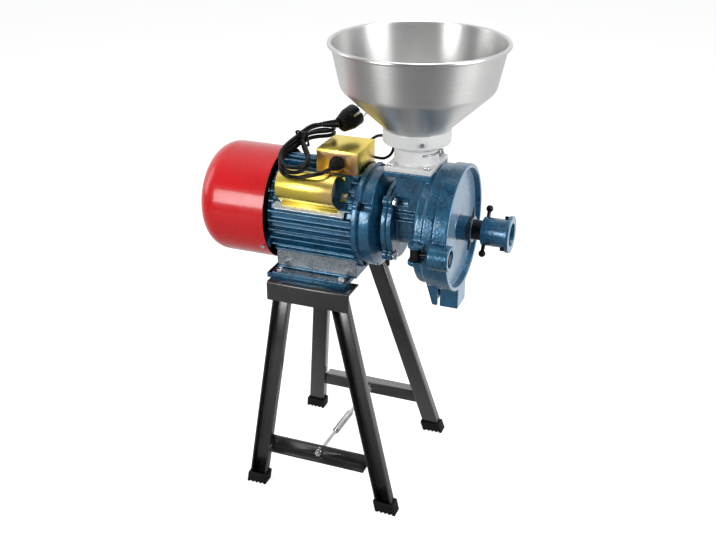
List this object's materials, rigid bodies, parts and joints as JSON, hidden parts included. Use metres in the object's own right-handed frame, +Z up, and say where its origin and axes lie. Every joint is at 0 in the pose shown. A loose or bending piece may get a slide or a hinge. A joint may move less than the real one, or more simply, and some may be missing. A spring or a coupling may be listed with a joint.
{
  "type": "electric grain mill",
  "caption": "Electric disc mill for grain: finned motor with a fan cowl, cast mill head with adjusting knob, steel hopper, and a splayed four-legged stand.",
  "frame": {"origin": "on the floor, at the middle of the box round the part without its free cord; the shaft's axis is in the plane y = 0", "axes": "+X along the shaft from the fan cowl towards the adjusting knob, +Y away from the clamp's side, +Z up"},
  "size_m": [0.5404, 0.3034, 0.8141],
  "materials": {
    "black_powder_coat": "satin black powder coat",
    "black_rubber": "moulded black rubber",
    "bright_zinc": "bright zinc plate",
    "hammered_blue": "hammered blue enamel over castings",
    "red_enamel": "glossy red enamel",
    "laminated_steel": "stacked laminations",
    "copper_wire": "enamelled copper wire, bound",
    "turned_steel": "turned steel",
    "black_plastic": "moulded black plastic",
    "yellow_chromate": "iridescent yellow chromate over zinc",
    "grey_plastic": "moulded grey plastic",
    "disc_iron": "chilled cast iron, dressed",
    "black_oxide": "oiled black oxide",
    "white_enamel": "white enamel",
    "stainless": "brushed stainless sheet",
    "black_pvc": "black flexible cable sheath",
    "nickel": "nickel plate"
  },
  "bodies": {
    "frame": {"stand_rail_front": "black_powder_coat", "stand_rail_back": "black_powder_coat", "leg_front_left": "black_powder_coat", "leg_front_right": "black_powder_coat", "leg_back_left": "black_powder_coat", "leg_back_right": "black_powder_coat", "foot_caps": "black_rubber", "cross_bar_front": "black_powder_coat", "cross_bar_back": "black_powder_coat", "tie_rod": "bright_zinc", "rod_sleeve": "bright_zinc", "tie_rod_nuts": "bright_zinc", "motor_base_tray": "hammered_blue", "motor_foot_bolts": "bright_zinc", "motor_housing": "hammered_blue", "stator_core": "laminated_steel", "stator_windings": "copper_wire", "rear_end_shield": "hammered_blue", "front_end_shield": "hammered_blue", "end_shield_bolts": "black_oxide", "motor_bearings": "turned_steel", "fan_cowl": "red_enamel", "cowl_screws": "bright_zinc", "capacitor_cover": "yellow_chromate", "capacitor": "grey_plastic", "capacitor_screws": "bright_zinc", "terminal_box_base": "yellow_chromate", "terminal_box_cover": "yellow_chromate", "terminal_board": "black_plastic", "cord_gland": "black_rubber", "jumper_lead": "black_pvc", "grinder_body": "hammered_blue", "flange_bolts": "bright_zinc", "shaft_seal": "black_rubber", "fixed_disc": "disc_iron", "front_cover": "hammered_blue", "clamp_bolt": "black_oxide", "clamp_nut": "black_oxide", "hinge_pins": "bright_zinc", "hopper_neck": "white_enamel", "neck_bolts": "bright_zinc", "hopper_screws": "bright_zinc", "hopper": "stainless", "cord_start": "black_pvc", "cord_hank": "black_pvc", "cord_lead": "black_pvc", "cord_tie": "black_plastic", "plug_body": "black_pvc", "plug_pins": "nickel"},
    "rotor": {"motor_shaft": "turned_steel", "rotor_core": "laminated_steel", "cooling_fan": "black_plastic"},
    "runner": {"feed_auger": "turned_steel", "rotating_disc": "disc_iron"},
    "thrust": {"thrust_pin": "turned_steel"},
    "knob": {"adjust_screw": "black_oxide", "adjust_knob": "hammered_blue", "knob_arms": "black_oxide"},
    "lock": {"lock_ring": "hammered_blue"},
    "gate": {"feed_gate": "turned_steel"}
  },
  "joints": [
    {"name": "rotor_spin", "type": "hinge", "parent": "frame", "child": "rotor", "pos_m": [0, 0, 0.5065], "axis": [1, 0, 0], "continuous": true},
    {"name": "runner_slide", "type": "slide", "parent": "rotor", "child": "runner", "axis": [1, 0, 0], "range_m": [0, 0.004]},
    {"name": "thrust_slide", "type": "slide", "parent": "frame", "child": "thrust", "axis": [1, 0, 0], "range_m": [0, 0.004]},
    {"name": "knob_turn", "type": "hinge", "parent": "thrust", "child": "knob", "pos_m": [0.23485, 0, 0.5065], "axis": [1, 0, 0], "range_deg": [0, 720]},
    {"name": "lock_turn", "type": "hinge", "parent": "thrust", "child": "lock", "pos_m": [0.20085, 0, 0.5065], "axis": [1, 0, 0], "range_deg": [0, 180]},
    {"name": "gate_slide", "type": "slide", "parent": "frame", "child": "gate", "axis": [1, 0, 0], "range_m": [0, 0.05]}
  ],
  "couplings": [
    {"joint": "runner_slide", "follows": "knob_turn", "m_per_rad": 0.00031831},
    {"joint": "thrust_slide", "follows": "knob_turn", "m_per_rad": 0.00031831}
  ]
}
